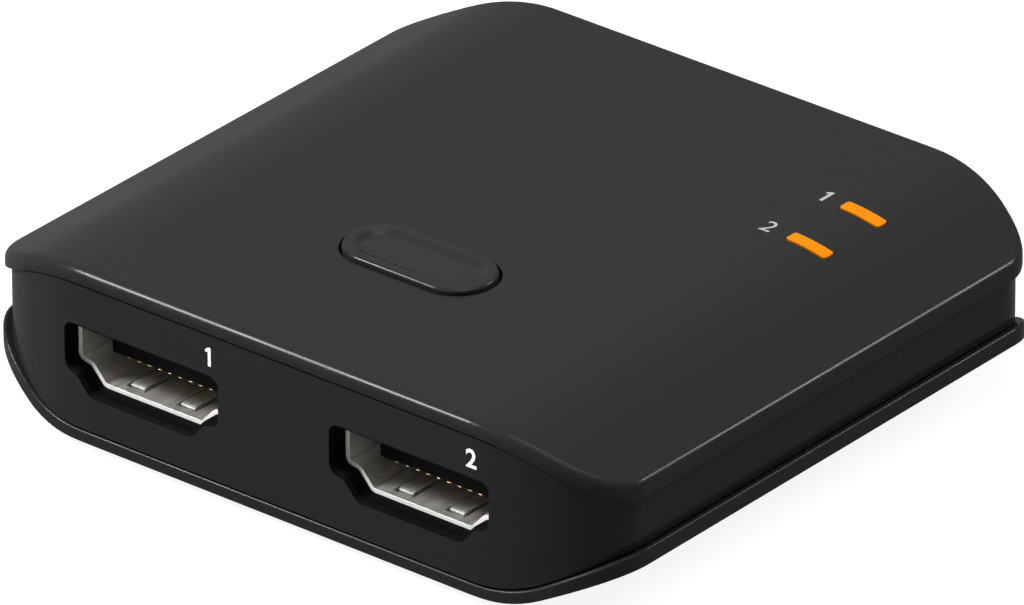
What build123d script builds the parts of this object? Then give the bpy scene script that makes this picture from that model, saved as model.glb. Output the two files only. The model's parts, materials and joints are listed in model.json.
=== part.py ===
from build123d import *
from math import atan, cos, sin, sqrt
from typing import NamedTuple
import os

# Pocket video switch: one input at the rear, two outputs at the front, a select button and two lamps.
# Millimetres, +Z up. The origin is on the table under the middle of the case, and the outputs face -Y.

# Case. The lid falls and the underside rises towards the left and right sides, like a lens. Seen from
# above, each corner is a quarter of an ellipse that is longer along X.
case_width = 60.9
case_depth = 56.3
case_height = 14.45
corner_x = 12.5
corner_y = 6.2
shoulder_run = 8.2
shoulder_drop = 3.7
shoulder_bend = 17.5
belly_run = 8.0
belly_rise = 3.85
belly_bend = 11.2

# Lid, a plate whose edge is the lip that is seen all round.
lip_front = 1.15
lip_side = 1.3
lip_rounding = 0.9
rib_height = 1.4
rib_thickness = 0.8

# Wall, a ring between lid and base. It is flush with the lip in front and stands in under it at the sides.
wall_thickness = 1.5
wall_corner_x = 12.0
wall_corner_y = 6.6
inner_corner = 7.7
side_step = 0.5
lid_groove = 0.12
base_groove = 0.18
groove_depth = 0.5

# Base, a plate whose edge is the flange that is seen all round.
flange_front = 0.93
flange_side = 1.45
flange_reach = 0.05
flange_side_reach = 0.75
flange_corner_x = 12.4
flange_corner_y = 6.2
flange_rounding = 0.2
floor_step = 0.6

# Feet, in shallow round pockets.
foot_radius = 3.5
foot_stand = 0.6
foot_pocket = 0.6
foot_rounding = 0.25
foot_x = 12.0
foot_y = 21.0

# Running and assembly clearances.
plate_fit = 0.1
socket_gap = 0.1
moulding_fit = 0.05
sliding_fit = 0.05
hole_fit = 0.15

# Board and the screws that clamp it between base and lid.
board_thickness = 1.2
board_side_gap = 4.7
board_end_gap = 0.7
board_corner = 1.5
screw_from_edge = 4.2
screw_from_end = 4.4
screw_behind_socket = 4.6
screw_radius = 0.95
screw_head_radius = 1.8
screw_head_height = 1.3
screw_length = 8.0
screw_head_rounding = 0.5
cross_width = 0.5
cross_length = 2.0
cross_depth = 0.7
screw_seat = 1.3
standoff_wall = 1.0
boss_radius = 2.2
post_radius = 1.5

# Video sockets with nineteen contacts. The opening is the standard one, with its keyed lower corners.
opening_width = 14.0
opening_height = 4.55
opening_side = 2.95
opening_ledge = 1.1
ledge_fall = 0.2
opening_floor = 9.3
opening_round = 0.3
key_round = 1.0
socket_height = 6.9
socket_depth = 11.5
output_pitch = 26.0
shell_sheet = 0.36
mouth_chamfer = 0.3
finger_spacing = 4.9
finger_width = 1.3
finger_slit = 0.3
finger_length = 4.0
finger_from_mouth = 0.7
finger_lift = 0.2
finger_curl = 0.4
finger_back = 0.18
leg_width = 1.4
leg_front = 2.2
leg_spacing = 6.6
leg_below_board = 0.6
tongue_width = 10.9
tongue_thickness = 1.0
tongue_setback = 1.7
insulator_block = 3.6
contact_pitch = 0.5
contact_count = 19
contact_width = 0.3
contact_thickness = 0.15
contact_setback = 0.15
tail_drop = 0.1
tail_foot = 0.8

# Power inlet, the oval type C with power contacts only.
inlet_width = 8.34
inlet_height = 2.56
inlet_sheet = 0.3
inlet_depth = 7.3
inlet_tongue_width = 6.7
inlet_tongue_thickness = 0.7
inlet_tongue_setback = 0.8
inlet_block = 2.2
inlet_contacts = 6
inlet_contact_pitch = 1.0
inlet_leg_front = 1.7
inlet_leg_spacing = 3.6
inlet_leg_width = 1.0

# Select button: an oval cap with a raised rim and a dished middle.
button_length = 13.4
button_width = 6.3
button_y = -11.0
button_gap = 0.25
button_stand = 0.4
button_travel = 0.3
button_rounding = 0.3
button_rim = 0.9
dish_depth = 0.25
dish_slope = 0.5
cap_flange = 0.9
cap_flange_height = 0.8
cap_wall = 1.0
stem_radius = 2.0
stem_gap = 0.05

# Push switch under the button.
switch_size = 6.2
switch_height = 3.5
switch_rounding = 0.4
plunger_radius = 1.75
plunger_reach = 1.5
plunger_seat = 1.5
plunger_room = 0.7
terminal_width = 0.7
terminal_spread = 4.5
terminal_reach = 0.9
terminal_thickness = 0.3

# Lamps: chip lights on the board, seen through bars of amber plastic in the lid.
lamp_from_side = 9.6
lamp_from_rear = 12.25
lamp_pitch = 6.45
lamp_length = 3.7
lamp_width = 1.2
lamp_corner = 0.2
lamp_proud = 0.12
lamp_flange = 0.5
lamp_flange_height = 0.6
lamp_gap = 0.2
chip_light_length = 2.0
chip_light_width = 1.25
chip_light_height = 0.8

# Parts on the board.
main_chip_size = 9.0
main_chip_height = 0.9
main_chip_y = 1.5
main_chip_lead_count = 12
main_chip_pitch = 0.65
lead_width = 0.25
lead_thickness = 0.15
lead_reach = 0.9
lead_foot = 0.5
control_chip_length = 4.9
control_chip_width = 3.9
control_chip_height = 1.4
control_chip_gap = 2.5
control_chip_y = 2.0
control_chip_lead_count = 4
control_chip_pitch = 1.27
crystal_length = 3.2
crystal_width = 2.5
crystal_height = 0.8
crystal_from_chip = 1.0
crystal_y = 2.0
coil_size = 4.0
coil_height = 2.0
coil_from_edge = 11.8
coil_y = 12.2
coil_rounding = 0.6
regulator_length = 2.9
regulator_width = 1.6
regulator_height = 1.1
regulator_y = 7.6
regulator_lead_count = 3
regulator_pitch = 0.95
capacitor_length = 1.6
capacitor_width = 0.8
capacitor_count = 6
capacitor_pitch = 1.6
capacitor_from_edge = 12.3
capacitor_y = 0.0
resistor_length = 1.0
resistor_width = 0.5
resistor_height = 0.35
resistor_count = 8
resistor_pitch = 1.1
resistor_y = 8.4
surge_length = 2.5
surge_width = 1.0
surge_height = 0.5
surge_pitch = 3.4
surge_from_tails = 1.0
part_rounding = 0.1

# How near two places, two heights or two directions are, when they count as the same.
same_place = 0.001
same_height = 0.01
same_direction = 0.999

# Levels and half sizes that follow from the above.
case_bottom = foot_stand
case_top = case_bottom + case_height
half_width = case_width / 2
half_depth = case_depth / 2
wall_half_x = half_width - side_step
inner_half_x = wall_half_x - wall_thickness
inner_half_y = half_depth - wall_thickness
socket_z = case_bottom + socket_height
board_top = socket_z - opening_height / 2 - shell_sheet
board_bottom = board_top - board_thickness
board_half_x = inner_half_x - board_side_gap
board_half_y = inner_half_y - board_end_gap
mouth_y = inner_half_y - socket_gap
socket_rear_y = mouth_y - socket_depth
tail_end_y = socket_rear_y - tail_drop - tail_foot
lid_underside = case_top - lip_front
screw_x = board_half_x - screw_from_edge
screw_front_y = -socket_rear_y + screw_behind_socket
screw_rear_y = board_half_y - screw_from_end
screw_head_top = board_bottom - screw_seat
standoff_radius = screw_head_radius + hole_fit + standoff_wall
inlet_z = board_top + inlet_sheet + inlet_height / 2
opening_half = opening_width / 2 + shell_sheet
inlet_half = inlet_width / 2 + inlet_sheet
between_posts = 2 * (screw_x - standoff_radius)
rear_spacing = (between_posts - 2 * opening_half - 2 * inlet_half) / 3
input_x = -between_posts / 2 + rear_spacing + opening_half
inlet_x = between_posts / 2 - rear_spacing - inlet_half
crystal_x = -main_chip_size / 2 - lead_reach - crystal_from_chip - crystal_length / 2
control_chip_x = crystal_x - crystal_length / 2 - control_chip_gap - control_chip_length / 2
coil_x = board_half_x - coil_from_edge
capacitor_x = board_half_x - capacitor_from_edge
lamp_x = half_width - lamp_from_side
lamp_y = half_depth - lamp_from_rear
switch_top = board_top + switch_height
plunger_top = switch_top + plunger_reach
cap_top = case_top + button_stand
cap_flange_top = lid_underside - plate_fit
cap_flange_bottom = cap_flange_top - cap_flange_height


class Surface(NamedTuple):
    """A surface that runs along Y: flat in the middle, then bent to a slope that reaches the side."""

    level: float
    side_level: float
    run: float
    bend: float

    def raised(self, amount):
        """The same surface, moved up by an amount."""
        return self._replace(level=self.level + amount, side_level=self.side_level + amount)

    def slope(self):
        """Rise for each millimetre outwards, on the sloping stretch."""
        return (self.side_level - self.level) / self.run

    def corner(self):
        """Distance from the middle at which the flat and the slope would meet if they weren't bent."""
        return half_width - self.run

    def height(self, x):
        """Height at a distance x from the middle, bend included."""
        angle = atan(abs(self.slope()))
        tangent = self.bend * sin(angle) / (1 + cos(angle))
        out = abs(x) - self.corner()
        if out <= -tangent:
            return self.level
        if out >= tangent * cos(angle):
            return self.level + self.slope() * out
        sagitta = self.bend - sqrt(self.bend ** 2 - (out + tangent) ** 2)
        return self.level + sagitta * (1 if self.slope() > 0 else -1)


roof = Surface(case_top, case_top - shoulder_drop, shoulder_run, shoulder_bend)
lid_seat = Surface(case_top - lip_front, roof.side_level - lip_side, shoulder_run, shoulder_bend)
belly = Surface(case_bottom, case_bottom + belly_rise, belly_run, belly_bend)
base_seat = Surface(case_bottom + flange_front, belly.side_level + flange_side, belly_run, belly_bend)


def lens(upper, lower):
    """Solid between two surfaces, longer and wider than the case."""
    overshoot = side_step + flange_side_reach
    reach = half_width + overshoot
    upper_end = upper.side_level + upper.slope() * overshoot
    lower_end = lower.side_level + lower.slope() * overshoot
    top = upper.corner()
    bottom = lower.corner()
    outline = [
        (-reach, upper_end), (-top, upper.level), (top, upper.level), (reach, upper_end),
        (reach, lower_end), (bottom, lower.level), (-bottom, lower.level), (-reach, lower_end),
    ]
    face = make_face(Polyline(*outline, close=True))
    upper_corners = [v for v in face.vertices() if abs(v.Y - upper.level) < same_place]
    face = fillet(upper_corners, upper.bend)
    on_lower = [v for v in face.vertices() if abs(v.Y - lower.level) < same_place]
    lower_corners = [v for v in on_lower if abs(v.X) < reach - same_place]
    face = fillet(lower_corners, lower.bend)
    return extrude(Plane.XZ * face, case_depth, both=True)


def upright(outline):
    """Prism on an outline, taller than the case."""
    return extrude(outline, case_top + button_stand + foot_stand)


def inner_column(inset):
    """Prism inside the wall, with round corners, that far from its inner face."""
    return upright(RectangleRounded(
        2 * (inner_half_x - inset), 2 * (inner_half_y - inset), inner_corner - inset))


def outer_column(half_x, half_y, along_x, along_y):
    """Prism whose corners are quarter ellipses with these half axes."""
    centre_x = half_x - along_x
    centre_y = half_y - along_y
    places = [(centre_x, centre_y), (-centre_x, centre_y), (-centre_x, -centre_y), (centre_x, -centre_y)]
    corners = [
        EllipticalCenterArc(place, along_x, along_y, quarter * 90, arc_size=90)
        for quarter, place in enumerate(places)
    ]
    sides = [Line(corner @ 1, following @ 0) for corner, following in zip(corners, corners[1:] + corners[:1])]
    return upright(make_face(corners + sides))


def block(width, depth, height, x, y, bottom):
    """Box that stands on a level, centred on x and y."""
    return Pos(x, y, bottom) * Box(width, depth, height, align=(Align.CENTER, Align.CENTER, Align.MIN))


def cylinder(radius, height, x, y, bottom):
    """Upright cylinder that stands on a level."""
    return Pos(x, y, bottom) * Cylinder(radius, height, align=(Align.CENTER, Align.CENTER, Align.MIN))


def oval(length, width, height, x, y, bottom):
    """Upright prism with two straight sides and half-round ends, long along X."""
    return Pos(x, y, bottom) * extrude(SlotOverall(length, width), height)


def upper_rim(solid, surface):
    """Edges of the outline that lie on a surface, without the lines that run across it."""
    found = []
    for edge in solid.edges():
        middle = edge @ 0.5
        runs_along_y = abs((edge % 0.5).Y) > same_direction
        if abs(middle.Z - surface.height(middle.X)) > same_height:
            continue
        if runs_along_y and abs(middle.X) < half_width - side_step:
            continue
        found.append(edge)
    return found


def screw_places():
    """The four screws: two behind the outputs and two in the rear corners."""
    return [(side * screw_x, y) for y in (screw_front_y, screw_rear_y) for side in (-1, 1)]


def lamp_places():
    """The two lamps, the rear one first."""
    return [(lamp_x, lamp_y), (lamp_x, lamp_y - lamp_pitch)]


def output_places():
    """Middles of the two outputs along X."""
    return [-output_pitch / 2, output_pitch / 2]


def lamp_outline(growth):
    """Outline of a light bar, grown outwards by an amount."""
    return RectangleRounded(lamp_length + 2 * growth, lamp_width + 2 * growth, lamp_corner)


def opening_outline(growth):
    """Keyed outline of the opening of a video socket, grown outwards by an amount, in X and Z."""
    top = opening_height / 2
    half = opening_width / 2
    ledge = top - opening_side
    right = [
        (half, top), (half, ledge), (half - opening_ledge, ledge - ledge_fall), (opening_floor / 2, -top),
    ]
    left = [(-x, z) for x, z in reversed(right)]
    face = make_face(Polyline(*right, *left, close=True))
    inward_x = half - opening_ledge
    inward_corners = [v for v in face.vertices() if abs(abs(v.X) - inward_x) < same_place]
    face = fillet(inward_corners, key_round)
    side_corners = [v for v in face.vertices() if abs(abs(v.X) - half) < same_place]
    floor_corners = [v for v in face.vertices() if abs(v.Y + top) < same_place]
    face = fillet(side_corners + floor_corners, opening_round)
    return offset(face, growth) if growth else face


def inlet_outline(growth):
    """Oval outline of the power inlet, grown outwards by an amount, in X and Z."""
    return SlotOverall(inlet_width + 2 * growth, inlet_height + 2 * growth)


def pushed(face, start, depth):
    """A face in X and Z made a solid that starts at y and goes on along +Y."""
    return Pos(0, start + depth, 0) * extrude(Plane.XZ * face, depth)


def facing_rear(solid):
    """The same solid, turned to face the other way."""
    return Rot(0, 0, 180) * solid


def wall_cutout(outline, sheet, x, z):
    """Hole for a socket in a wall at the front face, with a small chamfer at its outer edge."""
    hole = pushed(outline(sheet), -groove_depth, wall_thickness + 2 * groove_depth)
    outer = Plane.XZ * outline(sheet + mouth_chamfer)
    inner = Pos(0, mouth_chamfer, 0) * (Plane.XZ * outline(sheet))
    return Pos(x, -half_depth, z) * (hole + loft([outer, inner], ruled=True))


def groove(seat, above, below):
    """Band round the wall that is cut away at a seam, from a little above it to a little below."""
    around, core = [
        outer_column(wall_half_x + grown, half_depth + grown, wall_corner_x + grown, wall_corner_y + grown)
        for grown in (groove_depth, -groove_depth)
    ]
    return (around - core) & lens(seat.raised(above), seat.raised(-below))


def wall_ring():
    """Ring between lid and base, with shadow grooves at both seams and the holes for the sockets."""
    outer = outer_column(wall_half_x, half_depth, wall_corner_x, wall_corner_y)
    ring = (outer - inner_column(0)) & lens(lid_seat, base_seat)
    ring -= groove(lid_seat, groove_depth, lid_groove)
    ring -= groove(base_seat, base_groove, groove_depth)
    for x in output_places():
        ring -= wall_cutout(opening_outline, shell_sheet, x, socket_z)
    ring -= facing_rear(wall_cutout(opening_outline, shell_sheet, -input_x, socket_z))
    ring -= facing_rear(wall_cutout(inlet_outline, inlet_sheet, -inlet_x, inlet_z))
    return ring


def lid_boss(x, y):
    """Post under the lid that a screw holds, down to the board."""
    return cylinder(boss_radius, case_height, x, y, board_top)


def lid():
    """Top plate with its rounded lip, locating rib, screw posts and the holes for button and lamps."""
    plate = lens(roof, lid_seat) & outer_column(half_width, half_depth, corner_x, corner_y)
    plate = fillet(upper_rim(plate, roof), lip_rounding)
    rib = inner_column(plate_fit) - inner_column(plate_fit + rib_thickness)
    rib &= lens(lid_seat.raised(lip_front / 2), lid_seat.raised(-rib_height))
    posts = Part() + [lid_boss(x, y) for x, y in screw_places()]
    posts &= lens(lid_seat.raised(lip_front / 2), belly)
    plate = plate + rib + posts
    for x, y in screw_places():
        plate -= cylinder(screw_radius + sliding_fit, screw_length - screw_seat, x, y, board_bottom)
    hole_length = button_length + 2 * button_gap
    hole_width = button_width + 2 * button_gap
    plate -= oval(hole_length, hole_width, case_height, 0, button_y, lid_underside - rib_height)
    for x, y in lamp_places():
        plate -= Pos(x, y, lid_underside - rib_height) * extrude(lamp_outline(moulding_fit), case_height)
    return plate


def base():
    """Bottom plate with its flange, raised floor, screw standoffs, switch post and foot pockets."""
    flange_x = wall_half_x + flange_side_reach
    flange_y = half_depth + flange_reach
    plate = lens(base_seat, belly) & outer_column(flange_x, flange_y, flange_corner_x, flange_corner_y)
    plate = fillet(upper_rim(plate, base_seat), flange_rounding)
    plate += inner_column(plate_fit) & lens(base_seat.raised(floor_step), belly.raised(flange_front / 2))
    standoffs = Part() + [cylinder(standoff_radius, board_bottom, x, y, 0) for x, y in screw_places()]
    standoffs += cylinder(post_radius, board_bottom, 0, button_y, 0)
    plate += standoffs - lens(belly, belly.raised(-case_height))
    for x, y in screw_places():
        plate -= cylinder(screw_radius + hole_fit, board_bottom, x, y, 0)
        plate -= cylinder(screw_head_radius + hole_fit, screw_head_top, x, y, 0)
    for x in (-foot_x, foot_x):
        for y in (-foot_y, foot_y):
            plate -= cylinder(foot_radius, foot_pocket + foot_stand, x, y, 0)
    return plate


def feet():
    """Four rubber discs in the pockets of the base."""
    discs = []
    for x in (-foot_x, foot_x):
        for y in (-foot_y, foot_y):
            disc = cylinder(foot_radius, foot_stand + foot_pocket, x, y, 0)
            lower_edge = disc.edges().sort_by(Axis.Z)[0]
            discs.append(fillet(lower_edge, foot_rounding))
    return discs


def screw(x, y):
    """Screw with a domed head and a cross recess, driven upwards through base and board into the lid."""
    head = cylinder(screw_head_radius, screw_head_height, x, y, screw_head_top - screw_head_height)
    head = fillet(head.edges().sort_by(Axis.Z)[0], screw_head_rounding)
    recess_z = screw_head_top - screw_head_height
    head -= block(cross_length, cross_width, cross_depth, x, y, recess_z)
    head -= block(cross_width, cross_length, cross_depth, x, y, recess_z)
    return head + cylinder(screw_radius, screw_length, x, y, screw_head_top)


def finger(x, side):
    """Sprung strip of a socket's floor (side -1) or ceiling (side 1), bent inwards and curled at the tip."""
    root = finger_from_mouth + finger_slit + finger_length
    tip = finger_from_mouth + finger_slit
    seat = opening_height / 2
    low = seat - finger_lift
    outline = [
        (root, seat + shell_sheet), (root, seat), (tip + finger_curl, low), (tip, low + finger_back),
        (tip, low + finger_back + shell_sheet), (tip + finger_curl, low + shell_sheet),
    ]
    face = make_face(Polyline(*[(y, side * z) for y, z in outline], close=True))
    return Pos(x - finger_width / 2, 0, 0) * extrude(Plane.YZ * face, finger_width)


def video_shell():
    """Folded metal shell with four sprung fingers and four legs, its mouth at the origin, facing -Y."""
    shell = pushed(opening_outline(shell_sheet), 0, socket_depth)
    shell -= pushed(opening_outline(0), 0, socket_depth)
    window_length = finger_length + finger_slit
    window_width = finger_width + 2 * finger_slit
    window_y = finger_from_mouth + window_length / 2
    for side in (-1, 1):
        for x in (-finger_spacing / 2, finger_spacing / 2):
            window_z = side * (opening_height + shell_sheet) / 2
            shell -= Pos(x, window_y, window_z) * Box(window_width, window_length, 2 * shell_sheet)
            shell += finger(x, side)
    leg_top = opening_height / 2 - opening_side / 2
    leg_bottom = -opening_height / 2 - shell_sheet - board_thickness - leg_below_board
    for side in (-1, 1):
        for y in (leg_front, leg_front + leg_spacing):
            x = side * (opening_width + shell_sheet) / 2
            shell += block(shell_sheet, leg_width, leg_top - leg_bottom, x, y, leg_bottom)
    return shell


def contact(x, level, start, rear, board, width):
    """Flat spring contact: forward along the tongue, down behind the socket and out on the board."""
    top = level + contact_thickness
    foot_top = board + contact_thickness
    bend = rear + contact_thickness
    outline = [
        (start, level), (start, top), (bend, top), (bend, foot_top), (rear + tail_foot, foot_top),
        (rear + tail_foot, board), (rear, board), (rear, level),
    ]
    face = make_face(Polyline(*outline, close=True))
    return Pos(x - width / 2, 0, 0) * extrude(Plane.YZ * face, width)


def contact_row(count, pitch, thickness, setback, rear, board):
    """Contacts along a tongue, by turns on its upper and its lower face, the first one on the upper."""
    levels = (thickness / 2, -thickness / 2 - contact_thickness)
    start = setback + contact_setback
    first = -(count - 1) / 2 * pitch
    return [
        contact(first + i * pitch, levels[i % 2], start, rear + tail_drop, board, contact_width)
        for i in range(count)
    ]


def video_contacts():
    """The contacts of one socket, ten above and nine below the tongue."""
    board = -opening_height / 2 - shell_sheet
    return contact_row(contact_count, contact_pitch, tongue_thickness, tongue_setback, socket_depth, board)


def video_insulator():
    """Moulded block with the tongue, cast round the contacts."""
    body = pushed(opening_outline(-moulding_fit), socket_depth - insulator_block, insulator_block)
    tongue_length = socket_depth - tongue_setback
    tongue_y = tongue_setback + tongue_length / 2
    body += Pos(0, tongue_y, 0) * Box(tongue_width, tongue_length, tongue_thickness)
    return body - video_contacts()


def inlet_shell():
    """Drawn oval shell of the power inlet with four legs, its mouth at the origin, facing -Y."""
    shell = pushed(inlet_outline(inlet_sheet), 0, inlet_depth) - pushed(inlet_outline(0), 0, inlet_depth)
    leg_bottom = -inlet_height / 2 - inlet_sheet - board_thickness - leg_below_board
    for side in (-1, 1):
        for y in (inlet_leg_front, inlet_leg_front + inlet_leg_spacing):
            x = side * (inlet_width + inlet_sheet) / 2
            shell += block(inlet_sheet, inlet_leg_width, -leg_bottom, x, y, leg_bottom)
    return shell


def inlet_contact_row():
    """The power contacts, by turns above and below the tongue."""
    board = -inlet_height / 2 - inlet_sheet
    return contact_row(
        inlet_contacts, inlet_contact_pitch, inlet_tongue_thickness, inlet_tongue_setback, inlet_depth,
        board)


def inlet_insulator():
    """Moulded block with the tongue of the power inlet."""
    body = pushed(inlet_outline(-moulding_fit), inlet_depth - inlet_block, inlet_block)
    tongue_length = inlet_depth - inlet_tongue_setback
    tongue_y = inlet_tongue_setback + tongue_length / 2
    body += Pos(0, tongue_y, 0) * Box(inlet_tongue_width, tongue_length, inlet_tongue_thickness)
    return body - inlet_contact_row()


def board():
    """Circuit board with its screw holes and the slots for the legs of the sockets."""
    outline = RectangleRounded(2 * board_half_x, 2 * board_half_y, board_corner)
    plate = Pos(0, 0, board_bottom) * extrude(outline, board_thickness)
    for x, y in screw_places():
        plate -= cylinder(screw_radius + hole_fit, board_thickness, x, y, board_bottom)
    video_slots = leg_slots(opening_width, shell_sheet, leg_front, leg_spacing, leg_width)
    inlet_slots = leg_slots(inlet_width, inlet_sheet, inlet_leg_front, inlet_leg_spacing, inlet_leg_width)
    for x in output_places():
        plate -= [Pos(x, -mouth_y, 0) * slot for slot in video_slots]
    plate -= [Pos(input_x, mouth_y, 0) * facing_rear(slot) for slot in video_slots]
    plate -= [Pos(inlet_x, mouth_y, 0) * facing_rear(slot) for slot in inlet_slots]
    return plate


def leg_slots(opening, sheet, front, spacing, width):
    """Slots in the board for the four legs of a socket, with its mouth at the origin, facing -Y."""
    across = (opening + sheet) / 2
    return [
        block(sheet + 2 * hole_fit, width + 2 * hole_fit, board_thickness, side * across, y, board_bottom)
        for side in (-1, 1)
        for y in (front, front + spacing)
    ]


def button_cap():
    """Oval cap with a raised rim, a dished middle, a flange under the lid and a stem over the switch."""
    height = cap_top - cap_flange_bottom
    cap = oval(button_length, button_width, height, 0, button_y, cap_flange_bottom)
    cap = fillet(cap.edges().group_by(Axis.Z)[-1], button_rounding)
    cap += oval(
        button_length + 2 * (button_gap + cap_flange), button_width + 2 * (button_gap + cap_flange),
        cap_flange_height, 0, button_y, cap_flange_bottom)
    rim = SlotOverall(button_length - 2 * button_rim, button_width - 2 * button_rim)
    floor_inset = button_rim + dish_slope
    floor = SlotOverall(button_length - 2 * floor_inset, button_width - 2 * floor_inset)
    cap -= Pos(0, button_y, 0) * loft([Pos(0, 0, cap_top) * rim, Pos(0, 0, cap_top - dish_depth) * floor])
    hollow_height = height - cap_wall - dish_depth
    hollow_length = button_length - 2 * cap_wall
    hollow_width = button_width - 2 * cap_wall
    cap -= oval(hollow_length, hollow_width, hollow_height, 0, button_y, cap_flange_bottom)
    stem_bottom = plunger_top + stem_gap
    return cap + cylinder(stem_radius, cap_top - cap_wall - stem_bottom, 0, button_y, stem_bottom)


def switch_body():
    """Housing of the push switch with the bore of its plunger."""
    body = block(switch_size, switch_size, switch_height, 0, button_y, board_top)
    body = fillet(body.edges().filter_by(Axis.Z), switch_rounding)
    bore_depth = switch_height - plunger_room
    return body - cylinder(plunger_radius + sliding_fit, bore_depth, 0, button_y, board_top + plunger_room)


def switch_plunger():
    """Round plunger that the stem of the button pushes."""
    height = switch_height - plunger_seat + plunger_reach
    return cylinder(plunger_radius, height, 0, button_y, board_top + plunger_seat)


def switch_terminals():
    """Four flat terminals at the sides of the push switch."""
    terminals = []
    for side in (-1, 1):
        for end in (-1, 1):
            x = side * (switch_size + terminal_reach) / 2
            y = button_y + end * terminal_spread / 2
            terminals.append(block(terminal_reach, terminal_width, terminal_thickness, x, y, board_top))
    return terminals


def light_bar(x, y):
    """Amber bar through the lid, with a flange under the plate, down to just above its chip light."""
    bottom = board_top + chip_light_height + lamp_gap
    shank = Pos(x, y, bottom) * extrude(lamp_outline(0), case_height)
    collar = Pos(x, y, bottom) * extrude(lamp_outline(lamp_flange), case_height)
    seat = lid_seat.raised(-moulding_fit)
    collar &= lens(seat, seat.raised(-lamp_flange_height))
    return (shank & lens(roof.raised(lamp_proud), belly)) + collar


def chip_light(x, y):
    """Small light on the board, under its bar."""
    return block(chip_light_length, chip_light_width, chip_light_height, x, y, board_top)


def gull_lead(out, level, x):
    """Bent lead of a chip: out of its side, down and out again on the board, towards +Y."""
    knee = out + lead_reach - lead_foot
    outline = [
        (out, level), (out, level + lead_thickness), (knee + lead_thickness, level + lead_thickness),
        (knee + lead_thickness, lead_thickness), (out + lead_reach, lead_thickness), (out + lead_reach, 0),
        (knee, 0), (knee, level),
    ]
    face = make_face(Polyline(*outline, close=True))
    return Pos(x - lead_width / 2, 0, 0) * extrude(Plane.YZ * face, lead_width)


def lead_rows(count, pitch, chip_width, chip_height, turns, x, y):
    """Rows of leads along the sides of a chip that stands at x and y, one row for each turn."""
    first = -(count - 1) / 2 * pitch
    row = [gull_lead(chip_width / 2, chip_height / 2, first + i * pitch) for i in range(count)]
    return [Pos(x, y, board_top) * (Rot(0, 0, turn) * lead) for turn in turns for lead in row]


def chip(length, width, height, x, y):
    """Moulded package that stands on the board, with a small bevel round its top."""
    body = block(length, width, height, x, y, board_top)
    return chamfer(body.faces().sort_by(Axis.Z)[-1].edges(), part_rounding)


def coil():
    """Moulded power coil with rounded corners."""
    body = block(coil_size, coil_size, coil_height, coil_x, coil_y, board_top)
    return fillet(body.edges().filter_by(Axis.Z), coil_rounding)


def capacitors():
    """Row of ceramic capacitors beside the main chip."""
    first = capacitor_y - (capacitor_count - 1) / 2 * capacitor_pitch
    rows = [first + i * capacitor_pitch for i in range(capacitor_count)]
    return [
        block(capacitor_length, capacitor_width, capacitor_width, capacitor_x, y, board_top)
        for y in rows
    ]


def resistors():
    """Row of small resistors behind the main chip."""
    first = -(resistor_count - 1) / 2 * resistor_pitch
    columns = [first + i * resistor_pitch for i in range(resistor_count)]
    return [
        block(resistor_width, resistor_length, resistor_height, x, resistor_y, board_top)
        for x in columns
    ]


def surge_arrays():
    """Surge protection packages, two behind the tails of each video socket."""
    y = tail_end_y - surge_from_tails
    rows = [(x, -y) for x in output_places()] + [(input_x, y)]
    return [
        block(surge_length, surge_width, surge_height, x + side * surge_pitch / 2, row_y, board_top)
        for x, row_y in rows
        for side in (-1, 1)
    ]


def socket_nodes(name, place, turn):
    """The three pieces of one video socket, set at its place."""
    def put(solid):
        return place * (Rot(0, 0, turn) * solid)
    return {
        name + "_shell": put(video_shell()),
        name + "_insulator": put(video_insulator()),
        name + "_contacts": [put(solid) for solid in video_contacts()],
    }


def all_nodes():
    """Every node of the switch by name: one solid, or a list of separate solids."""
    lamps = lamp_places()
    inlet_place = Pos(inlet_x, mouth_y, inlet_z) * Rot(0, 0, 180)
    two_sides = (0, 180)
    all_sides = (0, 90, 180, 270)
    nodes = {
        "top_cover": lid(),
        "wall_frame": wall_ring(),
        "bottom_cover": base(),
        "rubber_feet": feet(),
        "case_screws": [screw(x, y) for x, y in screw_places()],
        "main_board": board(),
        "button_cap": button_cap(),
        "switch_body": switch_body(),
        "switch_plunger": switch_plunger(),
        "switch_terminals": switch_terminals(),
        "power_shell": inlet_place * inlet_shell(),
        "power_insulator": inlet_place * inlet_insulator(),
        "power_contacts": [inlet_place * solid for solid in inlet_contact_row()],
        "switch_chip": chip(main_chip_size, main_chip_size, main_chip_height, 0, main_chip_y),
        "switch_chip_leads": lead_rows(
            main_chip_lead_count, main_chip_pitch, main_chip_size, main_chip_height, all_sides,
            0, main_chip_y),
        "control_chip": chip(
            control_chip_length, control_chip_width, control_chip_height, control_chip_x, control_chip_y),
        "control_chip_leads": lead_rows(
            control_chip_lead_count, control_chip_pitch, control_chip_width, control_chip_height, two_sides,
            control_chip_x, control_chip_y),
        "crystal": chip(crystal_length, crystal_width, crystal_height, crystal_x, crystal_y),
        "power_coil": coil(),
        "regulator": chip(regulator_length, regulator_width, regulator_height, coil_x, regulator_y),
        "regulator_leads": lead_rows(
            regulator_lead_count, regulator_pitch, regulator_width, regulator_height, two_sides,
            coil_x, regulator_y),
        "capacitors": capacitors(),
        "resistors": resistors(),
        "surge_arrays": surge_arrays(),
    }
    for number, (x, y) in enumerate(lamps, start=1):
        nodes[f"light_bar_{number}"] = light_bar(x, y)
        nodes[f"chip_light_{number}"] = chip_light(x, y)
    for number, x in enumerate(output_places(), start=1):
        nodes.update(socket_nodes(f"output_{number}", Pos(x, -mouth_y, socket_z), 0))
    nodes.update(socket_nodes("input", Pos(input_x, mouth_y, socket_z), 180))
    return nodes


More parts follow.
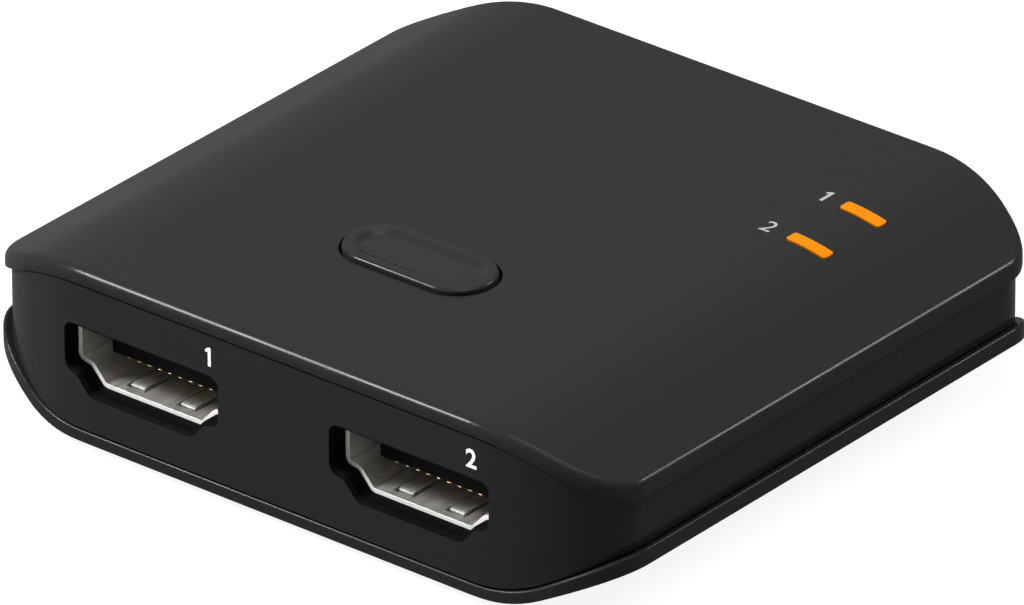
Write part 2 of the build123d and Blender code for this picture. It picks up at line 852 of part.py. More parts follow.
os.makedirs("parts", exist_ok=True)
for node_name, node in all_nodes().items():
    solids = node if isinstance(node, list) else [node]
    pieces = [piece for item in solids for piece in item.solids()]
    shape = pieces[0] if len(pieces) == 1 else Compound(children=pieces)
    export_step(shape, f"parts/{node_name}.step")
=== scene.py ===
"""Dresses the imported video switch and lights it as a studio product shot.

The switch is a flat black box with two video outputs in front, an input and a power inlet behind,
an oval select button and two amber lamps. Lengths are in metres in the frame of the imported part.
"""

import json
import logging
import math
from dataclasses import dataclass
from enum import Enum

import bmesh
import bpy
from mathutils import Matrix, Vector

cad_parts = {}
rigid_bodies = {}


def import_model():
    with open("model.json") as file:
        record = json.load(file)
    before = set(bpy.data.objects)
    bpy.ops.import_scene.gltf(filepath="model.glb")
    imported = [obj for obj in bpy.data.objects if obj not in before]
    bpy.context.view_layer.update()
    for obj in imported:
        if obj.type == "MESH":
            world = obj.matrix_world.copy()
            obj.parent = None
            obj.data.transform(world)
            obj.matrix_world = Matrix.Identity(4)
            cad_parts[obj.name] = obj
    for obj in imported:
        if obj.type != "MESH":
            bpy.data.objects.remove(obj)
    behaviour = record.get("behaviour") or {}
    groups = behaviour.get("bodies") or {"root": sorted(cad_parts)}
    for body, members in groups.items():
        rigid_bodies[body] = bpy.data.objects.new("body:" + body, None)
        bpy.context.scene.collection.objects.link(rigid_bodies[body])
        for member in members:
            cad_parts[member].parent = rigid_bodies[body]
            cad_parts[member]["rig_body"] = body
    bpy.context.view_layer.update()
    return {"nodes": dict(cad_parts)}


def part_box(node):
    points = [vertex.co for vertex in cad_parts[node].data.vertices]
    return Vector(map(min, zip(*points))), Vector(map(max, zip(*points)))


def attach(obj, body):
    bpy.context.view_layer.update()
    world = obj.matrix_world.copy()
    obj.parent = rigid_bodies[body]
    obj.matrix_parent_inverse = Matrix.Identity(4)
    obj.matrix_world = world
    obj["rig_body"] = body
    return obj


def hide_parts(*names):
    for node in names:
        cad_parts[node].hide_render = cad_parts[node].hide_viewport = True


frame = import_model()

MM = 0.001
PHOTO_WIDTH = 1024
STORED_NORMALS = "custom_normal"
# Most values of a noise lie between these two.
NOISE_LOW = 0.3
NOISE_HIGH = 0.7
# Octaves of a noise.
FINE = 3.0
PLAIN = 2.0
# A wave texture of scale 1 repeats after this many metres.
WAVE_REPEAT = 0.314

logging.basicConfig(level=logging.INFO, format="%(name)s: %(message)s")
log = logging.getLogger("switch")

Colour = tuple[float, float, float, float]
Place = tuple[float, float, float]
Setting = float | int | tuple[float, ...] | bpy.types.NodeSocket


def linear(code: str) -> Colour:
    """Turns an sRGB hex colour into the linear colour that a shader takes.

    Args:
        code: The colour as "#RRGGBB".

    Returns:
        Red, green, blue and an alpha of 1.
    """
    shares = [int(code[start:start + 2], 16) / 255 for start in (1, 3, 5)]
    red, green, blue = [s / 12.92 if s <= 0.04045 else ((s + 0.055) / 1.055) ** 2.4 for s in shares]
    return red, green, blue, 1.0


def add_node(tree: bpy.types.NodeTree, kind: str, inputs: dict[str | int, Setting] | None = None,
             **settings: str | bool | float) -> bpy.types.Node:
    """Adds a node, gives it its settings, and fills or links its inputs.

    Args:
        tree: The node tree that gets the node.
        kind: The node's type name.
        inputs: A value, or the output to link from, for each input that isn't left as it is.
        **settings: Values of the node's own properties.

    Returns:
        The new node.
    """
    node = tree.nodes.new(kind)
    for key, value in settings.items():
        setattr(node, key, value)
    for key, value in (inputs or {}).items():
        if isinstance(value, bpy.types.NodeSocket):
            tree.links.new(value, node.inputs[key])
        else:
            node.inputs[key].default_value = value
    return node


# Finishes.


@dataclass(frozen=True)
class Finish:
    """A material, named for the real one and for how its surface was made."""

    name: str

    def material(self) -> bpy.types.Material:
        """Makes the material the first time, and hands out the same one after that.

        Returns:
            The material.
        """
        made = bpy.data.materials.get(self.name)
        if made is None:
            made = bpy.data.materials.new(self.name)
            made.use_nodes = True
            made.node_tree.nodes.clear()
            shader = add_node(made.node_tree, "ShaderNodeBsdfPrincipled")
            place = add_node(made.node_tree, "ShaderNodeTexCoord").outputs["Object"]
            add_node(made.node_tree, "ShaderNodeOutputMaterial", {"Surface": shader.outputs[0]})
            self.lay(made.node_tree, shader, place)
        return made

    def lay(self, tree: bpy.types.NodeTree, shader: bpy.types.Node, place: bpy.types.NodeSocket) -> None:
        """Fills the shader's inputs.

        Args:
            tree: The material's node tree.
            shader: Its Principled shader.
            place: The place on the object, in metres.
        """
        raise NotImplementedError


@dataclass(frozen=True)
class MouldedPlastic(Finish):
    """Plastic moulded in a tool with an even, spark-eroded grain. Its gloss may be a thin skin."""

    dark: str
    light: str
    roughness: float
    specular: float
    grain: float
    relief: float
    cloud: float = 11 * MM
    spread: float = 0.05
    skin: float = 0.0

    def lay(self, tree: bpy.types.NodeTree, shader: bpy.types.Node, place: bpy.types.NodeSocket) -> None:
        """Lays the grain as relief and tone, and lets the gloss drift over the moulding.

        Args:
            tree: The material's node tree.
            shader: Its Principled shader.
            place: The place on the object, in metres.
        """
        grain = add_node(tree, "ShaderNodeTexNoise",
                         {"Vector": place, "Scale": 1 / self.grain, "Detail": FINE})
        drift = add_node(tree, "ShaderNodeTexNoise",
                         {"Vector": place, "Scale": 1 / self.cloud, "Detail": PLAIN})
        tone = add_node(tree, "ShaderNodeMix",
                        {0: grain.outputs[0], 6: linear(self.dark), 7: linear(self.light)}, data_type="RGBA")
        gloss = add_node(tree, "ShaderNodeMapRange",
                         {"Value": drift.outputs[0], "From Min": NOISE_LOW, "From Max": NOISE_HIGH,
                          "To Min": self.roughness - self.spread, "To Max": self.roughness + self.spread})
        relief = add_node(tree, "ShaderNodeBump",
                          {"Height": grain.outputs[0], "Distance": self.relief, "Strength": 1.0})
        tree.links.new(tone.outputs[2], shader.inputs["Base Color"])
        tree.links.new(gloss.outputs[0], shader.inputs["Roughness"])
        tree.links.new(relief.outputs[0], shader.inputs["Normal"])
        tree.links.new(gloss.outputs[0], shader.inputs["Coat Roughness"])
        tree.links.new(relief.outputs[0], shader.inputs["Coat Normal"])
        shader.inputs["Specular IOR Level"].default_value = self.specular
        shader.inputs["Coat Weight"].default_value = self.skin


@dataclass(frozen=True)
class PlatedMetal(Finish):
    """Rolled or drawn metal with a thin plating, whose fine lines run along Y."""

    dark: str
    light: str
    roughness: float
    line: float = 0.06 * MM
    run: float = 4 * MM
    relief: float = 0.001 * MM
    spread: float = 0.08
    metallic: float = 1.0

    def lay(self, tree: bpy.types.NodeTree, shader: bpy.types.Node, place: bpy.types.NodeSocket) -> None:
        """Lays the rolling lines as relief, tone and gloss.

        Args:
            tree: The material's node tree.
            shader: Its Principled shader.
            place: The place on the object, in metres.
        """
        along = add_node(tree, "ShaderNodeMapping",
                         {"Vector": place, "Scale": (1 / self.line, 1 / self.run, 1 / self.line)})
        lines = add_node(tree, "ShaderNodeTexNoise",
                         {"Vector": along.outputs[0], "Scale": 1.0, "Detail": FINE})
        tone = add_node(tree, "ShaderNodeMix",
                        {0: lines.outputs[0], 6: linear(self.dark), 7: linear(self.light)}, data_type="RGBA")
        gloss = add_node(tree, "ShaderNodeMapRange",
                         {"Value": lines.outputs[0], "From Min": NOISE_LOW, "From Max": NOISE_HIGH,
                          "To Min": self.roughness - self.spread, "To Max": self.roughness + self.spread})
        relief = add_node(tree, "ShaderNodeBump",
                          {"Height": lines.outputs[0], "Distance": self.relief, "Strength": 1.0})
        tree.links.new(tone.outputs[2], shader.inputs["Base Color"])
        tree.links.new(gloss.outputs[0], shader.inputs["Roughness"])
        tree.links.new(relief.outputs[0], shader.inputs["Normal"])
        shader.inputs["Metallic"].default_value = self.metallic


@dataclass(frozen=True)
class LitResin(Finish):
    """Clear tinted plastic over a light: its top glows, its sides hardly do."""

    colour: str
    edge: str
    strength: float
    roughness: float
    flow: float = 0.9 * MM
    drift: float = 1.5
    side: float = 0.2
    top: float = 0.9
    side_glow: float = 0.05
    skin: float = 0.12

    def lay(self, tree: bpy.types.NodeTree, shader: bpy.types.Node, place: bpy.types.NodeSocket) -> None:
        """Lays the tint, the flow marks of the moulding and the glow.

        Args:
            tree: The material's node tree.
            shader: Its Principled shader.
            place: The place on the object, in metres.
        """
        flow = add_node(tree, "ShaderNodeTexNoise",
                        {"Vector": place, "Scale": 1 / self.flow, "Detail": PLAIN})
        tint = add_node(tree, "ShaderNodeMix",
                        {0: flow.outputs[0], 6: linear(self.edge), 7: linear(self.colour)}, data_type="RGBA")
        gloss = add_node(tree, "ShaderNodeMapRange",
                         {"Value": flow.outputs[0],
                          "To Min": self.roughness, "To Max": self.roughness * self.drift})
        facing = add_node(tree, "ShaderNodeSeparateXYZ", {0: place.node.outputs["Normal"]})
        glow = add_node(tree, "ShaderNodeMapRange",
                        {"Value": facing.outputs[2], "From Min": self.side, "From Max": self.top,
                         "To Min": self.side_glow, "To Max": self.strength})
        tree.links.new(tint.outputs[2], shader.inputs["Base Color"])
        tree.links.new(tint.outputs[2], shader.inputs["Emission Color"])
        tree.links.new(glow.outputs[0], shader.inputs["Emission Strength"])
        tree.links.new(gloss.outputs[0], shader.inputs["Coat Roughness"])
        shader.inputs["Specular IOR Level"].default_value = 0.0
        shader.inputs["Coat Weight"].default_value = self.skin


@dataclass(frozen=True)
class SolderMask(Finish):
    """Lacquer over a glass laminate: copper tracks show through it, lighter and a little proud."""

    bare: str
    over_copper: str
    pitch: float = 1.2 * MM
    field: float = 7 * MM
    relief: float = 0.03 * MM
    track_foot: float = 0.62
    track_top: float = 0.7
    roughness: float = 0.3

    def lay(self, tree: bpy.types.NodeTree, shader: bpy.types.Node, place: bpy.types.NodeSocket) -> None:
        """Lays tracks that run along X in some fields of the board and along Y in the others.

        Args:
            tree: The material's node tree.
            shader: Its Principled shader.
            place: The place on the object, in metres.
        """
        waves = [add_node(tree, "ShaderNodeTexWave",
                          {"Vector": place, "Scale": WAVE_REPEAT / self.pitch, "Distortion": 0.0},
                          wave_type="BANDS", bands_direction=direction) for direction in ("X", "Y")]
        fields = add_node(tree, "ShaderNodeTexChecker", {"Vector": place, "Scale": 1 / self.field})
        both = add_node(tree, "ShaderNodeMix",
                        {0: fields.outputs[1], 2: waves[0].outputs[1], 3: waves[1].outputs[1]},
                        data_type="FLOAT")
        track = add_node(tree, "ShaderNodeMapRange",
                         {"Value": both.outputs[0], "From Min": self.track_foot, "From Max": self.track_top})
        tone = add_node(tree, "ShaderNodeMix",
                        {0: track.outputs[0], 6: linear(self.bare), 7: linear(self.over_copper)},
                        data_type="RGBA")
        relief = add_node(tree, "ShaderNodeBump",
                          {"Height": track.outputs[0], "Distance": self.relief, "Strength": 1.0})
        tree.links.new(tone.outputs[2], shader.inputs["Base Color"])
        tree.links.new(relief.outputs[0], shader.inputs["Normal"])
        shader.inputs["Roughness"].default_value = self.roughness


@dataclass(frozen=True)
class PressedPowder(Finish):
    """Pressed and fired or cured powder, with fine specks of a second tone."""

    body: str
    speck: str
    roughness: float
    size: float
    relief: float = 0.01 * MM
    core: float = 0.15
    rim: float = 0.45
    softness: float = 0.6

    def lay(self, tree: bpy.types.NodeTree, shader: bpy.types.Node, place: bpy.types.NodeSocket) -> None:
        """Lays the specks as tone and relief.

        Args:
            tree: The material's node tree.
            shader: Its Principled shader.
            place: The place on the object, in metres.
        """
        cells = add_node(tree, "ShaderNodeTexVoronoi", {"Vector": place, "Scale": 1 / self.size})
        speck = add_node(tree, "ShaderNodeMapRange",
                         {"Value": cells.outputs["Distance"], "From Min": self.core, "From Max": self.rim,
                          "To Min": 1.0, "To Max": 0.0})
        tone = add_node(tree, "ShaderNodeMix",
                        {0: speck.outputs[0], 6: linear(self.body), 7: linear(self.speck)}, data_type="RGBA")
        relief = add_node(tree, "ShaderNodeBump",
                          {"Height": cells.outputs["Distance"], "Distance": self.relief,
                           "Strength": self.softness})
        tree.links.new(tone.outputs[2], shader.inputs["Base Color"])
        tree.links.new(relief.outputs[0], shader.inputs["Normal"])
        shader.inputs["Roughness"].default_value = self.roughness


# Satin black ABS from a spark-eroded tool: an even, fine grain that only softens the highlights. Its gloss
# is a thin skin, in which the white room stays dark and only the lamps show, as lines along the creases.
# The real grain of 0.03 mm is under a pixel, so it is drawn at 0.12 mm.
CASE_ABS = MouldedPlastic("case_satin_moulded_abs", dark="#1A1A1B", light="#202021", roughness=0.22,
                          specular=0.0, skin=0.11, grain=0.12 * MM, relief=0.0006 * MM)
# Inside the cut-outs the plastic is left dull, and its near-black colour is painted shade: the shadow that
# fills the cut-outs is painted in, so no light shows in there.
CUTOUT_PAINTED_SHADE_ABS = MouldedPlastic("case_cutout_painted_shade_abs", dark="#030303", light="#060606", roughness=0.7,
                            specular=0.02, grain=0.12 * MM, relief=0.001 * MM)
# The cap comes from a smoother tool, so its rim takes a brighter line of light than the lid.
BUTTON_ABS = MouldedPlastic("button_smooth_moulded_abs", dark="#1A1A1B", light="#1F1F20", roughness=0.26,
                            specular=0.0, skin=0.17, grain=0.1 * MM, relief=0.0004 * MM, cloud=5 * MM)
# Thermoplastic rubber, dull and slightly grey where it is handled.
FOOT_RUBBER = MouldedPlastic("foot_moulded_rubber", dark="#121212", light="#1E1E1D", roughness=0.82,
                             specular=0.3, grain=0.25 * MM, relief=0.012 * MM, cloud=2 * MM)
# Black zinc on steel: dark metal with a dull sheen.
SCREW_STEEL = PlatedMetal("screw_black_zinc_steel", dark="#26262A", light="#3A3A3F", roughness=0.38)
# Bright nickel on cold-rolled steel, with faint rolling lines into the socket.
SOCKET_NICKEL = PlatedMetal("socket_rolled_nickel_steel", dark="#DAD8D3", light="#F4F2EE", roughness=0.45,
                            line=0.1 * MM, relief=0.0002 * MM, spread=0.05)
# Sheared front rim of the shell, rougher than its sides. Its near-white, half-diffuse colour is a painted
# highlight, so the rim shows bright nearly like white paint.
RIM_PAINTED_HIGHLIGHT_NICKEL = PlatedMetal("socket_rim_painted_highlight_nickel", dark="#E2E0DC", light="#FAF9F6", roughness=0.6,
                         relief=0.0002 * MM, spread=0.05, metallic=0.45)
# Glass-filled liquid crystal polymer: near black, with faint streaks of flow.
SOCKET_POLYMER = MouldedPlastic("socket_moulded_glass_filled_polymer", dark="#040404", light="#080808",
                                roughness=0.65, specular=0.03, grain=0.2 * MM, relief=0.003 * MM,
                                cloud=1.5 * MM)
# Selective gold over nickel on phosphor bronze, bright where the plug wipes it.
CONTACT_GOLD = PlatedMetal("contact_gold_plated_bronze", dark="#E8C27A", light="#FFE9BC", roughness=0.45,
                           line=0.03 * MM, run=1 * MM)
# Amber polycarbonate, lit from below by its chip: an even, deep orange on top, with darker sides.
LAMP_AMBER = LitResin("lamp_amber_polycarbonate", colour="#945502", edge="#8A4E01", strength=1.15,
                      roughness=0.18)
# Epoxy over the chip light, warm when lit.
CHIP_LIGHT_EPOXY = LitResin("chip_light_cast_epoxy", colour="#FFE2A0", edge="#FFB040", strength=1.2,
                            roughness=0.35, flow=0.4 * MM)
# Green lacquer over copper and glass laminate: lighter tracks on a dark ground, with some shine.
BOARD_MASK = SolderMask("board_green_solder_mask", bare="#05180F", over_copper="#0D3A24")
# Black epoxy moulding compound, dull, with specks of its silica filler.
CHIP_EPOXY = PressedPowder("chip_moulded_epoxy", body="#161617", speck="#232325", roughness=0.62,
                           size=0.16 * MM)
# Matt tin over copper, soft and slightly streaked.
LEAD_TIN = PlatedMetal("lead_matt_tin", dark="#A9A9A6", light="#C9C9C6", roughness=0.4, line=0.08 * MM)
# Nylon of the push switch, smoother than the case.
SWITCH_NYLON = MouldedPlastic("switch_moulded_nylon", dark="#131314", light="#1D1D1E", roughness=0.45,
                              specular=0.4, grain=0.15 * MM, relief=0.002 * MM, cloud=2 * MM)
# Nickel silver can of the crystal, drawn and lightly brushed.
CRYSTAL_CAN = PlatedMetal("crystal_drawn_nickel_silver", dark="#AFABA0", light="#CDCABF", roughness=0.3)
# Pressed ferrite powder round the coil, dark grey and grainy.
COIL_FERRITE = PressedPowder("coil_pressed_ferrite", body="#2B2B2D", speck="#434346", roughness=0.6,
                             size=0.2 * MM)
# Fired barium titanate, a warm brown.
CAPACITOR_CERAMIC = PressedPowder("capacitor_fired_titanate", body="#84633F", speck="#9C7B55",
                                  roughness=0.45, size=0.1 * MM)
# Black glass glaze over alumina, with a hard shine.
RESISTOR_GLAZE = PressedPowder("resistor_black_glaze", body="#101012", speck="#1A1A1D", roughness=0.2,
                               size=0.12 * MM)
# Pad-printed inks, matt and very slightly uneven: white on the front, grey on the lid.
WHITE_INK = MouldedPlastic("pad_printed_white_ink", dark="#E4E4E2", light="#F6F6F4", roughness=0.6,
                           specular=0.3, grain=0.2 * MM, relief=0.001 * MM)
GREY_INK = MouldedPlastic("pad_printed_grey_ink", dark="#767676", light="#8A8A8A", roughness=0.6,
                          specular=0.1, grain=0.2 * MM, relief=0.001 * MM)


# Sub-assemblies.


@dataclass
class SubAssembly:
    """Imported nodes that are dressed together."""

    smooth_below: float = math.radians(32)
    weld: float = 0.002 * MM
    soften_above: float = math.radians(50)
    softening_steps: int = 2

    def put_on(self, name: str, finish: Finish) -> None:
        """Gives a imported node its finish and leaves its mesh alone.

        Args:
            name: The node.
            finish: What it is made of.
        """
        materials = frame["nodes"][name].data.materials
        materials.clear()
        materials.append(finish.material())
        log.info("%s is finished in %s", name, finish.name)

    def refine(self, name: str, finish: Finish, softening: float = 0.0) -> bpy.types.Object:
        """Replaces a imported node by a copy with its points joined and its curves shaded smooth.

        Args:
            name: The node.
            finish: What it is made of.
            softening: Width of the worn edge round its corners, or 0 for none.

        Returns:
            The copy.
        """
        node = frame["nodes"][name]
        mesh = node.data.copy()
        joined = bmesh.new()
        joined.from_mesh(mesh)
        bmesh.ops.remove_doubles(joined, verts=joined.verts[:], dist=self.weld)
        bmesh.ops.dissolve_degenerate(joined, dist=self.weld, edges=joined.edges[:])
        for face in joined.faces:
            face.smooth = True
        joined.to_mesh(mesh)
        joined.free()
        for stored in [layer for layer in mesh.attributes if layer.name == STORED_NORMALS]:
            mesh.attributes.remove(stored)
        mesh.set_sharp_from_angle(angle=self.smooth_below)
        mesh.materials.clear()
        mesh.materials.append(finish.material())
        copy = bpy.data.objects.new(f"{name}_finished", mesh)
        bpy.context.scene.collection.objects.link(copy)
        if softening > 0:
            bevel = copy.modifiers.new("worn_edges", "BEVEL")
            bevel.width = softening
            bevel.segments = self.softening_steps
            bevel.limit_method = "ANGLE"
            bevel.angle_limit = self.soften_above
        normals = copy.modifiers.new("flat_faces_stay_flat", "WEIGHTED_NORMAL")
        normals.keep_sharp = True
        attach(copy, node["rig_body"])
        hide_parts(name)
        log.info("%s is refined in %s", name, finish.name)
        return copy


@dataclass
class Housing(SubAssembly):
    """Lid, wall ring and base, with the feet and the screws under it."""

    cutout_margin: float = 0.5 * MM
    cutout_depth: float = 1.4 * MM
    flush: float = 0.01 * MM
    facing_out: float = 0.9

    def build(self) -> None:
        """Dresses the housing."""
        for name in ("top_cover", "bottom_cover"):
            self.refine(name, CASE_ABS)
        wall = self.refine("wall_frame", CASE_ABS)
        # The wall's second material is painted shade, laid on the sides of the cut-outs.
        wall.data.materials.append(CUTOUT_PAINTED_SHADE_ABS.material())
        for shell in ("output_1_shell", "output_2_shell", "input_shell", "power_shell"):
            self.paint_cutout_shade(wall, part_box(shell))
        self.refine("rubber_feet", FOOT_RUBBER)
        self.refine("case_screws", SCREW_STEEL)

    def paint_cutout_shade(self, wall: bpy.types.Object, shell: tuple[Vector, Vector]) -> None:
        """Gives the sides of one cut-out the wall's second material, its painted shade.

        Args:
            wall: The wall.
            shell: The low and the high corner of the shell behind the cut-out.
        """
        front = max(abs(v.co.y) for v in wall.data.vertices)
        for face in wall.data.polygons:
            depth = front - abs(face.center.y)
            same_side = face.center.y * (shell[0].y + shell[1].y) > 0
            across = shell[0].x - self.cutout_margin < face.center.x < shell[1].x + self.cutout_margin
            inside = self.flush < depth < self.cutout_depth and abs(face.normal.y) < self.facing_out
            if same_side and across and inside:
                face.material_index = 1


@dataclass
class SelectButton(SubAssembly):
    """Oval cap with the push switch that it works. The slope of its dish stays crisp."""

    smooth_below: float = math.radians(25)

    def build(self) -> None:
        """Dresses the cap, the plunger and the switch."""
        self.refine("button_cap", BUTTON_ABS)
        self.refine("switch_plunger", SWITCH_NYLON)
        self.refine("switch_body", SWITCH_NYLON)
        self.put_on("switch_terminals", LEAD_TIN)


@dataclass
class Lamps(SubAssembly):
    """Two amber bars in the lid, each over its chip light. Slivers of their top edges are joined."""

    weld: float = 0.04 * MM
    edge: float = 0.1 * MM

    def build(self) -> None:
        """Dresses the bars and the chips under them."""
        for number in (1, 2):
            self.refine(f"light_bar_{number}", LAMP_AMBER, softening=self.edge)
            self.put_on(f"chip_light_{number}", CHIP_LIGHT_EPOXY)


@dataclass
class Socket(SubAssembly):
    """A socket: plated shell with a painted highlight on its front rim, moulded tongue and plated contacts.
    """

    prefix: str = "output_1"
    rolled_edge: float = 0.05 * MM

    def build(self) -> None:
        """Dresses the shell, the tongue and the contacts."""
        shell = self.refine(f"{self.prefix}_shell", SOCKET_NICKEL, softening=self.rolled_edge)
        # The shell's second material is a painted highlight, laid on the faces of its front rim.
        shell.data.materials.append(RIM_PAINTED_HIGHLIGHT_NICKEL.material())
        mouth = max(abs(v.co.y) for v in shell.data.vertices)
        for face in shell.data.polygons:
            if mouth - abs(face.center.y) < self.weld:
                face.material_index = 1
        self.put_on(f"{self.prefix}_insulator", SOCKET_POLYMER)
        self.put_on(f"{self.prefix}_contacts", CONTACT_GOLD)


@dataclass
class Board(SubAssembly):
    """Circuit board with its chips and small parts."""

    def build(self) -> None:
        """Dresses the board and all that it carries."""
        self.put_on("main_board", BOARD_MASK)
        for name in ("switch_chip", "control_chip", "regulator", "surge_arrays"):
            self.put_on(name, CHIP_EPOXY)
        for name in ("switch_chip_leads", "control_chip_leads", "regulator_leads"):
            self.put_on(name, LEAD_TIN)
        self.put_on("crystal", CRYSTAL_CAN)
        self.put_on("power_coil", COIL_FERRITE)
        self.put_on("capacitors", CAPACITOR_CERAMIC)
        self.put_on("resistors", RESISTOR_GLAZE)


class Face(Enum):
    """Side of the case that a numeral is printed on, as the turn about X that takes flat text there."""

    LID = 0.0
    FRONT = math.radians(90)


# A one with a flag, which the font draws as a plain bar.
OUTLINES = {
    "1": ((0.19, 0.0), (0.37, 0.0), (0.37, 1.0), (0.22, 1.0), (0.0, 0.84), (0.07, 0.71), (0.19, 0.79)),
}


@dataclass
class PrintedNumeral:
    """A plain number, pad-printed on the case."""

    name: str
    figure: str
    middle: Place
    height: float
    face: Face
    ink: Finish
    weight: float = 0.0
    thickness: float = 0.02 * MM
    first_depth: float = 0.1

    def lettered(self) -> bpy.types.Mesh:
        """Takes the figure from the font as a thick mesh.

        Returns:
            The mesh.
        """
        text = bpy.data.curves.new(self.name, "FONT")
        text.body = self.figure
        text.extrude = self.first_depth
        text.offset = self.weight
        holder = bpy.data.objects.new(self.name, text)
        bpy.context.scene.collection.objects.link(holder)
        mesh = bpy.data.meshes.new_from_object(holder.evaluated_get(bpy.context.evaluated_depsgraph_get()))
        bpy.data.objects.remove(holder)
        return mesh

    def drawn(self, outline: tuple[tuple[float, float], ...]) -> bpy.types.Mesh:
        """Draws the figure from its own outline as a thick mesh.

        Args:
            outline: The corners in turn, for a height of 1.

        Returns:
            The mesh.
        """
        figure = bmesh.new()
        face = figure.faces.new([figure.verts.new((x, y, 0)) for x, y in outline])
        raised = bmesh.ops.extrude_face_region(figure, geom=[face])["geom"]
        bmesh.ops.translate(figure, verts=[v for v in raised if isinstance(v, bmesh.types.BMVert)],
                            vec=(0, 0, self.first_depth))
        bmesh.ops.recalc_face_normals(figure, faces=figure.faces[:])
        mesh = bpy.data.meshes.new(self.name)
        figure.to_mesh(mesh)
        figure.free()
        return mesh

    def build(self) -> bpy.types.Object:
        """Makes the figure as a thin layer of ink, half sunk in the face.

        Returns:
            The printed figure.
        """
        mesh = self.drawn(OUTLINES[self.figure]) if self.figure in OUTLINES else self.lettered()
        low = Vector([min(v.co[axis] for v in mesh.vertices) for axis in range(3)])
        high = Vector([max(v.co[axis] for v in mesh.vertices) for axis in range(3)])
        scale = self.height / (high.y - low.y)
        flat = Matrix.Diagonal((scale, scale, self.thickness / (high.z - low.z), 1.0))
        turned = Matrix.Rotation(self.face.value, 4, "X")
        centred = Matrix.Translation(-(low + high) / 2)
        mesh.transform(Matrix.Translation(self.middle) @ turned @ flat @ centred)
        mesh.materials.clear()
        mesh.materials.append(self.ink.material())
        printed = bpy.data.objects.new(self.name, mesh)
        bpy.context.scene.collection.objects.link(printed)
        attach(printed, "casing")
        log.info("%s is printed", self.name)
        return printed


@dataclass
class Markings:
    """The numbers over the outputs and beside the lamps."""

    front_height: float = 1.56 * MM
    front_weight: float = 0.02
    lid_height: float = 1.6 * MM
    port_level: float = 12.0 * MM
    port_numerals: tuple[tuple[str, float], ...] = (("1", -6.3 * MM), ("2", 18.98 * MM))
    lamp_numerals: tuple[tuple[str, float, float], ...] = (
        ("1", 16.99 * MM, 16.2 * MM), ("2", 16.79 * MM, 9.7 * MM))

    def build(self) -> None:
        """Prints all four numbers."""
        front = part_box("wall_frame")[0].y
        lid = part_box("top_cover")[1].z
        for figure, x in self.port_numerals:
            PrintedNumeral(f"port_numeral_{figure}", figure, (x, front, self.port_level), self.front_height,
                           Face.FRONT, WHITE_INK, weight=self.front_weight).build()
        for figure, x, y in self.lamp_numerals:
            PrintedNumeral(f"lamp_numeral_{figure}", figure, (x, y, lid), self.lid_height,
                           Face.LID, GREY_INK).build()


# Studio.


@dataclass(frozen=True)
class Viewpoint:
    """The photograph's camera, worked out from the straight edges of the case."""

    eye: Place = (0.7096374, -0.8648027, 0.6004254)
    azimuth: float = math.radians(39.37948)
    elevation: float = math.radians(27.94347)
    roll: float = math.radians(-0.21291)
    focal_pixels: float = 16834.825
    sensor: float = 36.0
    nearest: float = 0.1
    farthest: float = 20.0

    def build(self) -> None:
        """Sets up the camera."""
        data = bpy.data.cameras.new("photo_camera")
        data.sensor_width = self.sensor
        data.lens = self.focal_pixels / PHOTO_WIDTH * self.sensor
        data.clip_start = self.nearest
        data.clip_end = self.farthest
        back = Vector((math.sin(self.azimuth) * math.cos(self.elevation),
                       -math.cos(self.azimuth) * math.cos(self.elevation), math.sin(self.elevation)))
        level = Vector((math.cos(self.azimuth), math.sin(self.azimuth), 0))
        right = Matrix.Rotation(self.roll, 3, back) @ level
        turn = Matrix((right, back.cross(right), back)).transposed()
        camera = bpy.data.objects.new("photo_camera", data)
        camera.matrix_world = Matrix.Translation(self.eye) @ turn.to_4x4()
        bpy.context.scene.collection.objects.link(camera)
        bpy.context.scene.camera = camera
        log.info("camera is set, lens %.1f mm", data.lens)


@dataclass(frozen=True)
class SoftBox:
    """A soft light that faces the middle of the switch."""

    name: str
    place: Place
    width: float
    height: float
    watts: float

    def build(self) -> None:
        """Hangs the light."""
        data = bpy.data.lights.new(self.name, "AREA")
        data.shape = "RECTANGLE"
        data.size = self.width
        data.size_y = self.height
        data.energy = self.watts
        light = bpy.data.objects.new(self.name, data)
        light.location = self.place
        light.rotation_mode = "QUATERNION"
        light.rotation_quaternion = (-Vector(self.place)).to_track_quat("-Z", "Y")
        light.visible_camera = False
        bpy.context.scene.collection.objects.link(light)


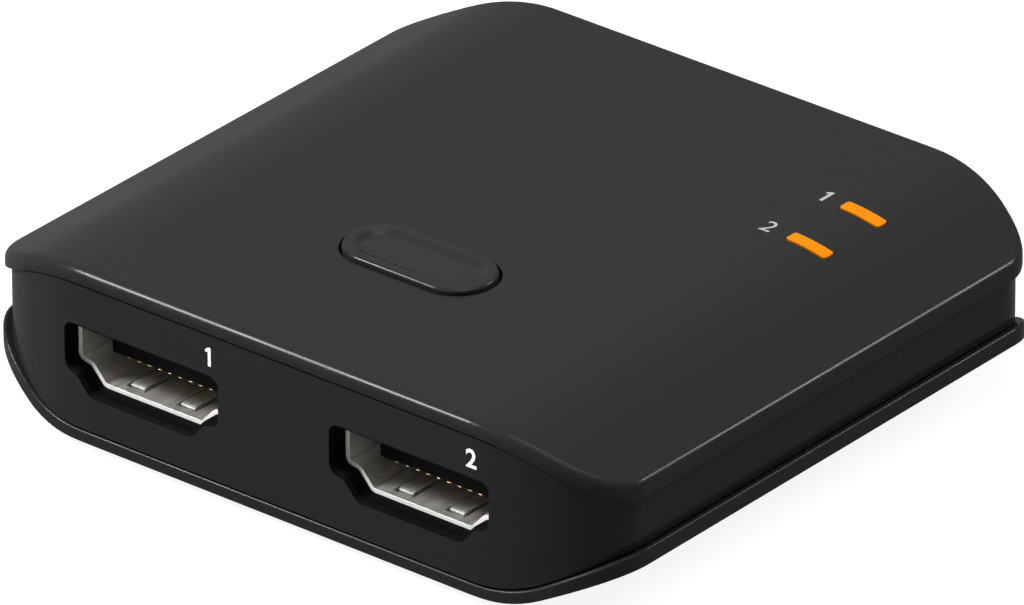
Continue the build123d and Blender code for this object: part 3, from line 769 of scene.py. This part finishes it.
@dataclass(frozen=True)
class Studio:
    """White paper on a table, a plain room round it and soft lights.

    Paper and room are white to the camera, in gloss and through clear plastic. As a light they are dimmer.
    """

    boxes: tuple[SoftBox, ...] = (
        SoftBox("key_from_upper_left", (-0.34, -0.28, 0.41), 0.12, 0.12, 7.5),
        SoftBox("edge_from_right_rear", (0.33, 0.48, 0.39), 0.12, 0.12, 2.8),
        SoftBox("fill_from_above", (0.15, 0.0, 0.75), 0.5, 0.5, 4.2),
    )
    floor_size: float = 8.0
    under_feet: float = 0.02 * MM
    paper: str = "#707070"
    shade: str = "#6A6A6A"
    white: float = 1.0
    room_as_light: float = 0.3
    paper_glow: float = 0.9

    def build(self) -> None:
        """Builds floor, surround and lights."""
        for box in self.boxes:
            box.build()
        self.lay_floor()
        self.light_surround()
        bpy.context.scene.view_settings.view_transform = "Standard"
        log.info("studio is lit by %d soft boxes", len(self.boxes))

    def seen_directly(self, tree: bpy.types.NodeTree) -> bpy.types.NodeSocket:
        """Finds the rays that show the background: from the camera, in gloss and through clear plastic.

        Args:
            tree: The node tree that gets the nodes.

        Returns:
            1 for such a ray, 0 for one that carries light to the object.
        """
        path = add_node(tree, "ShaderNodeLightPath")
        first = add_node(tree, "ShaderNodeMath",
                         {0: path.outputs["Is Camera Ray"], 1: path.outputs["Is Glossy Ray"]},
                         operation="MAXIMUM")
        return add_node(tree, "ShaderNodeMath", {0: first.outputs[0], 1: path.outputs["Is Transmission Ray"]},
                        operation="MAXIMUM").outputs[0]

    def lay_floor(self) -> None:
        """Lays matt paper that is white to the eye and keeps a soft shadow."""
        sheet = bmesh.new()
        bmesh.ops.create_grid(sheet, x_segments=1, y_segments=1, size=self.floor_size / 2,
                              matrix=Matrix.Translation((0, 0, -self.under_feet)))
        mesh = bpy.data.meshes.new("studio_floor")
        sheet.to_mesh(mesh)
        sheet.free()
        material = bpy.data.materials.new("floor_matt_paper")
        material.use_nodes = True
        tree = material.node_tree
        tree.nodes.clear()
        paper = add_node(tree, "ShaderNodeBsdfDiffuse", {"Color": linear(self.paper)})
        shade = add_node(tree, "ShaderNodeBsdfDiffuse", {"Color": linear(self.shade)})
        glow = add_node(tree, "ShaderNodeEmission", {"Color": linear("#FFFFFF"), "Strength": self.paper_glow})
        seen = add_node(tree, "ShaderNodeAddShader", {0: shade.outputs[0], 1: glow.outputs[0]})
        both = add_node(tree, "ShaderNodeMixShader",
                        {0: self.seen_directly(tree), 1: paper.outputs[0], 2: seen.outputs[0]})
        add_node(tree, "ShaderNodeOutputMaterial", {"Surface": both.outputs[0]})
        mesh.materials.append(material)
        floor = bpy.data.objects.new("studio_floor", mesh)
        bpy.context.scene.collection.objects.link(floor)

    def light_surround(self) -> None:
        """Makes the room white to the eye and an even, softer light to the object."""
        world = bpy.data.worlds.new("white_surround")
        bpy.context.scene.world = world
        world.use_nodes = True
        tree = world.node_tree
        tree.nodes.clear()
        level = add_node(tree, "ShaderNodeMapRange", {"Value": self.seen_directly(tree),
                                                      "To Min": self.room_as_light, "To Max": self.white})
        even = add_node(tree, "ShaderNodeBackground",
                        {"Color": linear("#FFFFFF"), "Strength": level.outputs[0]})
        add_node(tree, "ShaderNodeOutputWorld", {"Surface": even.outputs[0]})


def main() -> None:
    """Builds the camera, the switch and the studio."""
    Viewpoint().build()
    Housing().build()
    SelectButton().build()
    Lamps().build()
    for prefix in ("output_1", "output_2", "input", "power"):
        Socket(prefix=prefix).build()
    Board().build()
    Markings().build()
    Studio().build()


if __name__ == "__main__":
    main()
